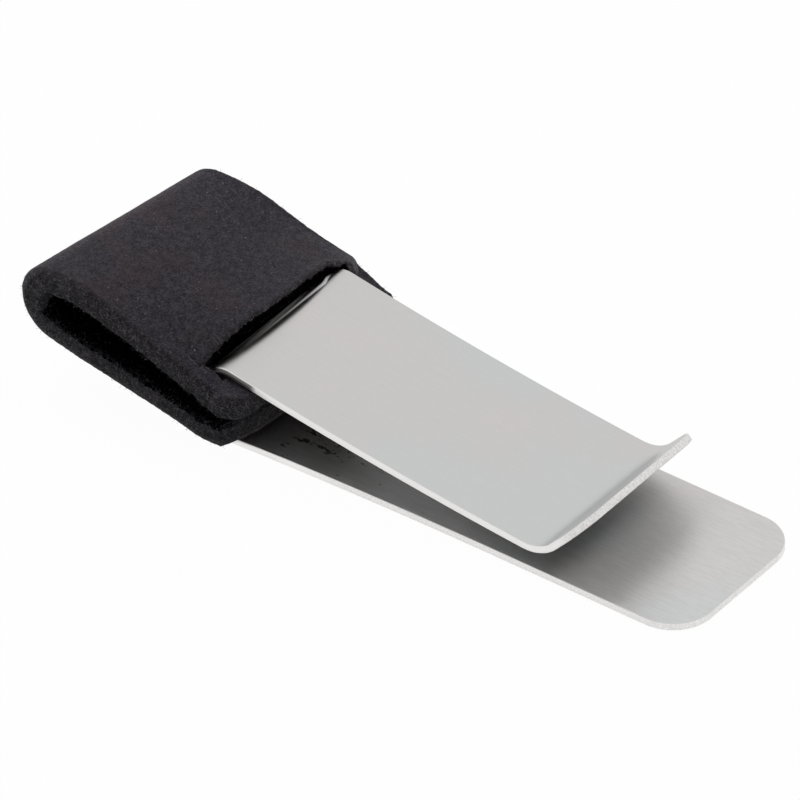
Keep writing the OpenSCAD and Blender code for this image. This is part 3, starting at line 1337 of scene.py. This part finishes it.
    def opening(self, grid: np.ndarray) -> tuple[np.ndarray, np.ndarray]:
        """How far the top layer has given way to the bend, from 0 to 1 at the middle of the slot.

        Args:
            grid: The middle surface.

        Returns:
            The share of the rise and the share of the push forward, at each point of the grid.
        """
        counts = self.counts()
        front, back = counts[0], counts[0] + counts[1]
        y = grid[0, :, 1]
        halves = np.where(y < self.arch_middle, self.arch_near, self.arch_far)
        off = np.minimum(1, np.abs(y - self.arch_middle) / halves)
        mouth = 1 - off**self.arch_fullness
        soft = np.cos(np.clip((y - self.arch_middle) / self.arch_half, -1, 1) * math.pi / 2)
        steps = np.linalg.norm(np.diff(grid[back:], axis=0), axis=2)
        away = np.concatenate([np.zeros((1, grid.shape[1])), np.cumsum(steps, axis=0)])
        share = np.zeros(grid.shape[:2])
        share[back:] = np.clip(1 - away / self.arch_reach, 0, 1) ** self.arch_power
        ramp = np.linspace(0, 1, back - front + 1)
        share[front : back + 1] = (ramp * ramp * (3 - 2 * ramp))[:, None]
        sharp = share**2
        return share * (sharp * mouth[None, :] + (1 - sharp) * soft[None, :]), share * soft[None, :]

    def surface(self) -> tuple[np.ndarray, np.ndarray, np.ndarray]:
        """The strip's middle surface with the slot open.

        Returns:
            The surface's grid, its outward normals, and how far each point has given way.
        """
        grid = self.middle()
        given, pushed = self.opening(grid)
        grid[..., 0] += self.arch_forward * pushed
        grid[..., 2] += self.arch_height * given
        y = grid[0, :, 1]
        corner = np.clip((y - self.corner_from) / self.corner_width, 0, 1)
        corner *= np.clip((self.far_y - self.corner_end - y) / self.corner_fade, 0, 1)
        share = pushed / np.maximum(pushed.max(axis=0), 1e-6)
        grid[..., 0] += self.corner_push * share**3 * corner
        along = np.gradient(grid, axis=0)
        front, back = self.counts()[0], sum(self.counts()[:2])
        inside = np.abs(grid[0, :, 1]) < self.slot_half + TOUCH
        along[back, inside] = (grid[back + 1] - grid[back])[inside]
        along[front, inside] = (grid[front] - grid[front - 1])[inside]
        normal = np.cross(np.gradient(grid, axis=1), along)
        return grid, normal / np.linalg.norm(normal, axis=2)[..., None], given

    def inset(self, grid: np.ndarray, solid: np.ndarray) -> np.ndarray:
        """How far each point of the grid lies from the nearest cut edge.

        Args:
            grid: The middle surface.
            solid: Which cells hold leather.

        Returns:
            The distances, which are 0 on the cut edges.
        """
        padded = np.pad(solid, 1)
        whole = padded[:-1, :-1] & padded[1:, :-1] & padded[:-1, 1:] & padded[1:, 1:]
        edge = np.argwhere(~whole)
        tree = KDTree(len(edge))
        for number, (i, k) in enumerate(edge):
            tree.insert(grid[i, k], number)
        tree.balance()
        return np.array([[tree.find(point)[2] for point in row] for row in grid])

    def wear(self, y: float) -> float:
        """How round the grain side's edge is at a row: worn outside, crisp at the slots."""
        outside = (abs(y) - self.slot_half) / (min(-self.near_y, self.far_y) - self.slot_half)
        return self.slot_r + (self.worn_r - self.slot_r) * min(1.0, max(0.0, outside))

    def depth(self, inset: float, worn_r: float, layer: int) -> float:
        """Height over the middle surface, which falls away towards the worn edges.

        Args:
            inset: Distance from the nearest cut edge.
            worn_r: How round the grain side's edge is.
            layer: The layer, from 0 on the grain side.

        Returns:
            The height, which is negative on the flesh side.
        """

        def fall(r: float) -> float:
            """How far an edge rounded by r has fallen at this inset."""
            return r - math.sqrt(r * r - max(0.0, r - inset) ** 2)

        grain = self.thickness / 2 - fall(worn_r)
        flesh = -self.thickness / 2 + fall(self.flesh_r)
        return grain + (flesh - grain) * layer / self.layers

    def shell(self, solid: np.ndarray) -> tuple[np.ndarray, list[list[int]]]:
        """The faces round all the cells that hold leather.

        Args:
            solid: Which cells hold leather.

        Returns:
            The row, column and layer of each point, and the faces as numbers of points.
        """
        index: dict[tuple[int, int, int], int] = {}
        padded, faces, last = np.pad(solid, 1), [], self.layers

        def add(*spots: tuple[int, int, int]) -> None:
            """Adds a face, and numbers its points on first use."""
            faces.append([index.setdefault(spot, len(index)) for spot in spots])

        for i, k in np.argwhere(solid).tolist():
            ring = [(i, k), (i, k + 1), (i + 1, k + 1), (i + 1, k)]
            add(*((*p, 0) for p in ring))
            add(*((*p, last) for p in reversed(ring)))
            beside = [(i - 1, k), (i, k + 1), (i + 1, k), (i, k - 1)]
            for (row, column), a, b in zip(beside, ring, ring[1:] + ring[:1]):
                if padded[row + 1, column + 1]:
                    continue
                for layer in range(last):
                    add((*a, layer), (*a, layer + 1), (*b, layer + 1), (*b, layer))
        return np.array(list(index)), faces

    def mesh(self, name: str) -> Mesh:
        """Builds the strip with its thickness, slots and raw edges.

        Args:
            name: The mesh's name.

        Returns:
            The mesh, in metres.
        """
        grid, normal, given = self.surface()
        solid = self.solid_cells(grid)
        inset = self.inset(grid, solid)
        counts, margin, rows = self.counts(), self.slot_margin, len(grid)
        wear = np.tile([self.wear(y) for y in grid[0, :, 1]], (rows, 1))
        wear[: counts[0] - margin] = wear[rows - counts[-1] + margin :] = self.worn_r
        thin = self.skive * given * np.clip(1 - inset / self.skive_reach, 0, 1)
        spots, faces = self.shell(solid)
        points = []
        for i, k, layer in spots:
            height = self.depth(inset[i, k], wear[i, k], layer) + thin[i, k] * layer / self.layers
            points.append(tuple(self.steel.place.placed(*(grid[i, k] + normal[i, k] * height))))
        made = bpy.data.meshes.new(name)
        made.from_pydata(points, [], faces)
        made.shade_smooth()
        row, column, layer = spots.T
        places = self.roughen(made, layer, inset[row, column])
        self.mark(made, places, layer, inset[row, column], given[row, column])
        self.clear_steel(made, row)
        return made

    def solid_cells(self, grid: np.ndarray) -> np.ndarray:
        """Which cells of the grid hold leather.

        Args:
            grid: The middle surface.

        Returns:
            False in the two slots, and True elsewhere.
        """
        counts = self.counts()
        solid = np.ones((grid.shape[0] - 1, grid.shape[1] - 1), bool)
        inside = np.abs((grid[0, :-1, 1] + grid[0, 1:, 1]) / 2) < self.slot_half
        for part in (1, 4):
            solid[sum(counts[:part]) : sum(counts[: part + 1]), inside] = False
        return solid

    def roughen(self, mesh: Mesh, layer: np.ndarray, inset: np.ndarray) -> np.ndarray:
        """Gives the leather its uneven surface and raw edges.

        Args:
            mesh: The smooth strip.
            layer: Each point's layer.
            inset: Each point's distance from the nearest cut edge.

        Returns:
            The points, in millimetres.
        """
        count = len(mesh.vertices)
        normals, places = np.zeros(count * 3), np.zeros(count * 3)
        mesh.vertices.foreach_get("normal", normals)
        mesh.vertices.foreach_get("co", places)
        normals, places = normals.reshape(-1, 3), places.reshape(-1, 3)
        cut, flesh = inset < TOUCH, layer == self.layers
        worn = np.clip(1 - inset / self.worn_r, 0, 1)
        out = np.zeros(count)
        for i in range(count):
            at = Vector(places[i]) / MM
            if cut[i] and layer[i] > 0:
                out[i] = self.rough.raw(at, layer[i] >= self.layers - 1)
            elif flesh[i]:
                out[i] = self.rough.inner(at)
            else:
                out[i] = self.rough.outer(at, worn[i])
        places += normals * out[:, None] * MM
        mesh.vertices.foreach_set("co", places.ravel())
        return places / MM

    def mark(
        self, mesh: Mesh, places: np.ndarray, layer: np.ndarray, inset: np.ndarray, hidden: np.ndarray
    ) -> None:
        """Marks the raw edges, the painted shade inside the loop and where loose fibres grow.

        Args:
            mesh: The strip.
            places: Its points, in millimetres.
            layer: Each point's layer.
            inset: Each point's distance from the nearest cut edge.
            hidden: How deep in the slot's shade each point lies, from 0 to 1.
        """
        cut, flesh = inset < TOUCH, layer == self.layers
        worn = np.clip(1 - inset / self.worn_r, 0, 1)
        rim = np.where(layer == 0, self.rough.raw_top, 1.0)
        face = np.where(flesh, 1.0, worn * self.rough.raw_worn)
        store(mesh, "cut_edge", np.where(cut, rim, face))
        # Painted shade: darker on the raw walls by the slots, on the lower raw edges towards the flesh
        # side, and on the flesh side further from its edges and lower down.
        shade = self.shade
        deep = np.clip(hidden * shade.gain, 0, 1)
        wall = np.where(cut & (layer > 1), deep * shade.darkest, 0)
        x, z = places[:, 0], places[:, 2]
        reach = (x - x.min()) / np.ptp(x)
        under = np.clip((shade.top - shade.fall * reach - z) / shade.soft, 0, 1)
        inner = np.clip(layer / self.layers - shade.layer_from, 0, 1) * shade.cut
        face = flesh * np.clip(under * shade.cut + inset / shade.depth, 0, 1) * shade.darkest
        store(mesh, "inside", np.maximum(np.maximum(face, wall), cut * under * inner))
        lip = np.clip((layer - self.layers * 0.5) / (self.layers * 0.5), 0, 1)
        fuzz, low = self.fuzz, self.fuzz.at_grain
        fibres = np.where(cut, low + (1 - low) * lip, flesh * fuzz.at_flesh)
        store(mesh, "fuzz", fibres * (1 - deep * (layer > 1)))

    def clear_steel(self, mesh: Mesh, row: np.ndarray) -> None:
        """Presses the leather back where it would cut into the bend.

        Args:
            mesh: The leather, in metres.
            row: Each point's row along the strip.
        """
        steel, counts, place = self.steel, self.counts(), self.steel.place
        loop = (row >= sum(counts[:2])) & (row <= sum(counts[:4]))
        tab = (row <= counts[0]) | (row >= sum(counts[:5]))
        places = np.zeros(row.size * 3)
        mesh.vertices.foreach_get("co", places)
        x, y, z = (places.reshape(-1, 3) / MM - [place.origin_x, 0, 0]).T
        level = np.clip(z, *steel.centres)
        away = np.hypot(x, z - level)
        keep = steel.thickness / 2 + self.clearance
        beside = steel.width / 2 + self.clearance
        tube = (np.abs(away - steel.mid_r) < keep + self.press_reach) & (x < self.side_front)
        over = (np.abs(y) < beside + self.press_reach) & (x < self.press_front)
        goal = np.where(loop & over, np.maximum(away, steel.mid_r + keep), away)
        under = tab & over & (away < steel.mid_r + keep)
        goal = np.where(under, np.minimum(goal, steel.mid_r - keep), goal)
        scale = goal / np.maximum(away, 0.1)
        side = tube & (~(loop | tab) | (np.abs(y) > beside - self.side_reach))
        y = np.where(side, np.sign(y) * np.maximum(np.abs(y), beside + self.clearance), y)
        moved = np.stack([x * scale + place.origin_x, y, level + (z - level) * scale], axis=1)
        mesh.vertices.foreach_set("co", (moved * MM).ravel())

    def shade_faces(self, mesh: Mesh) -> None:
        """Gives the faces deep inside the loop and the slots the shaded copy of the finish, without
        sheen, as painted shade.
        """
        inside = np.zeros(len(mesh.vertices), np.float32)
        mesh.attributes["inside"].data.foreach_get("value", inside)
        for face in mesh.polygons:
            face.material_index = int(inside[list(face.vertices)].mean() > self.shade.dull_from)

    def build(self) -> None:
        """Builds the leather and its loose fibres, and sets both on the loop's body."""
        mesh = self.mesh("leather_strip")
        leather = add_object("leather_strip", mesh)
        # A shaded copy of the leather, without sheen or gloss, paints the shade on the faces deep in the
        # loop and the slots.
        shaded = replace(self.leather, name="black_nubuck_shaded", sheen=0.0, gloss=0.0)
        for finish in (self.leather, shaded):
            mesh.materials.append(finish.material())
        self.shade_faces(mesh)
        fibres = FibreTree().baked(
            mesh.copy(),
            "leather_edge_fibres",
            {
                "Density": self.fuzz.density,
                "Length": self.fuzz.length * MM,
                "Radius": self.fuzz.radius * MM,
                "Seed": self.fuzz.seed,
                "Material": self.fuzz.material(),
            },
        )
        for piece in (leather, fibres):
            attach(piece, Body.LOOP.value)
            log.info("%s: %d faces", piece.name, len(piece.data.polygons))
        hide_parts("leather_loop")
        marks = (self.stations(self.near) + self.stations(self.far)) / 2


# ---------------------------------------------------------------- studio


@dataclass
class Studio:
    """A white floor, white surroundings, a soft lamp and a long lens."""

    azimuth: float = 37.059
    elevation: float = 37.051
    roll: float = -0.873
    aim: Color = (-2.506, 0.025, 5.0)
    distance: float = 1945.7
    lens: float = 896.04
    sensor: float = 36
    clip: Span = (0.1, 20)
    floor_size: float = 3000.0
    floor_drop: float = 0.02
    floor_color: Color = (0.9, 0.9, 0.9)
    floor_glow: float = 0.975
    white: Color = (1.0, 1.0, 1.0)
    ambient: float = 0.2

    def world(self) -> None:
        """Surrounds the clip with white, which the lens and the metal see at full strength."""
        s = Shader(bpy.data.worlds.new("white_room"), "OutputWorld")
        lit, seen = (
            s.node("Background", {"Color": self.white, "Strength": strength})
            for strength in (self.ambient, 1.0)
        )
        shares = {0: s.seen(), 1: lit.outputs[0], 2: seen.outputs[0]}
        bpy.context.scene.world = s.finish(s.node("MixShader", shares))

    def floor(self) -> None:
        """Lays a white floor just under the clip, which keeps a faint shadow."""
        half = self.floor_size / 2 * MM
        mesh = bpy.data.meshes.new("floor")
        z = -self.floor_drop * MM
        corners = [(-half, -half, z), (half, -half, z), (half, half, z), (-half, half, z)]
        mesh.from_pydata(corners, [], [(0, 1, 2, 3)])
        floor = add_object("floor", mesh)
        s = Shader.material("white_floor")
        matt = s.node("BsdfDiffuse", {"Color": self.floor_color})
        glow = s.node("Emission", {"Color": self.white, "Strength": 1.0})
        share = s.math("MULTIPLY", s.seen(), self.floor_glow)
        mixed = s.node("MixShader", {0: share, 1: matt.outputs[0], 2: glow.outputs[0]})
        mesh.materials.append(s.finish(mixed))

    def lamp(self, name: str, place: Color, size: float, power: float) -> None:
        """Hangs a soft square lamp that faces the clip.

        Args:
            name: The lamp's name.
            place: Where it hangs, in millimetres.
            size: Its side, in millimetres.
            power: Its power, in watts.
        """
        light = bpy.data.lights.new(name, "AREA")
        light.size = size * MM
        light.energy = power
        lamp = add_object(name, light)
        lamp.location = Vector(place) * MM
        lamp.rotation_euler = (-lamp.location).to_track_quat("-Z", "Y").to_euler()
        lamp.visible_glossy = False

    def camera(self) -> None:
        """Sets up the camera."""
        data = bpy.data.cameras.new("camera")
        data.sensor_width, data.lens = self.sensor, self.lens
        data.clip_start, data.clip_end = self.clip
        camera = add_object("camera", data)
        a, e = math.radians(self.azimuth), math.radians(self.elevation)
        away = Vector((math.sin(a) * math.cos(e), -math.cos(a) * math.cos(e), math.sin(e)))
        camera.location = (Vector(self.aim) + away * self.distance) * MM
        turn = away.to_track_quat("Z", "Y").to_matrix() @ Matrix.Rotation(math.radians(self.roll), 3, "Z")
        camera.rotation_euler = turn.to_euler()
        bpy.context.scene.camera = camera

    def build(self) -> None:
        """Builds the whole studio."""
        self.world()
        self.floor()
        self.lamp("overhead", place=(-300, 250, 650), size=900, power=5.2)
        self.camera()
        bpy.context.scene.view_settings.view_transform = "Standard"


# ---------------------------------------------------------------- whole clip


def main() -> None:
    """Builds the studio and the clip, in order."""
    Studio().build()
    strip = SteelStrip()
    strip.build()
    LeatherLoop(steel=strip).build()


if __name__ == "__main__":
    main()
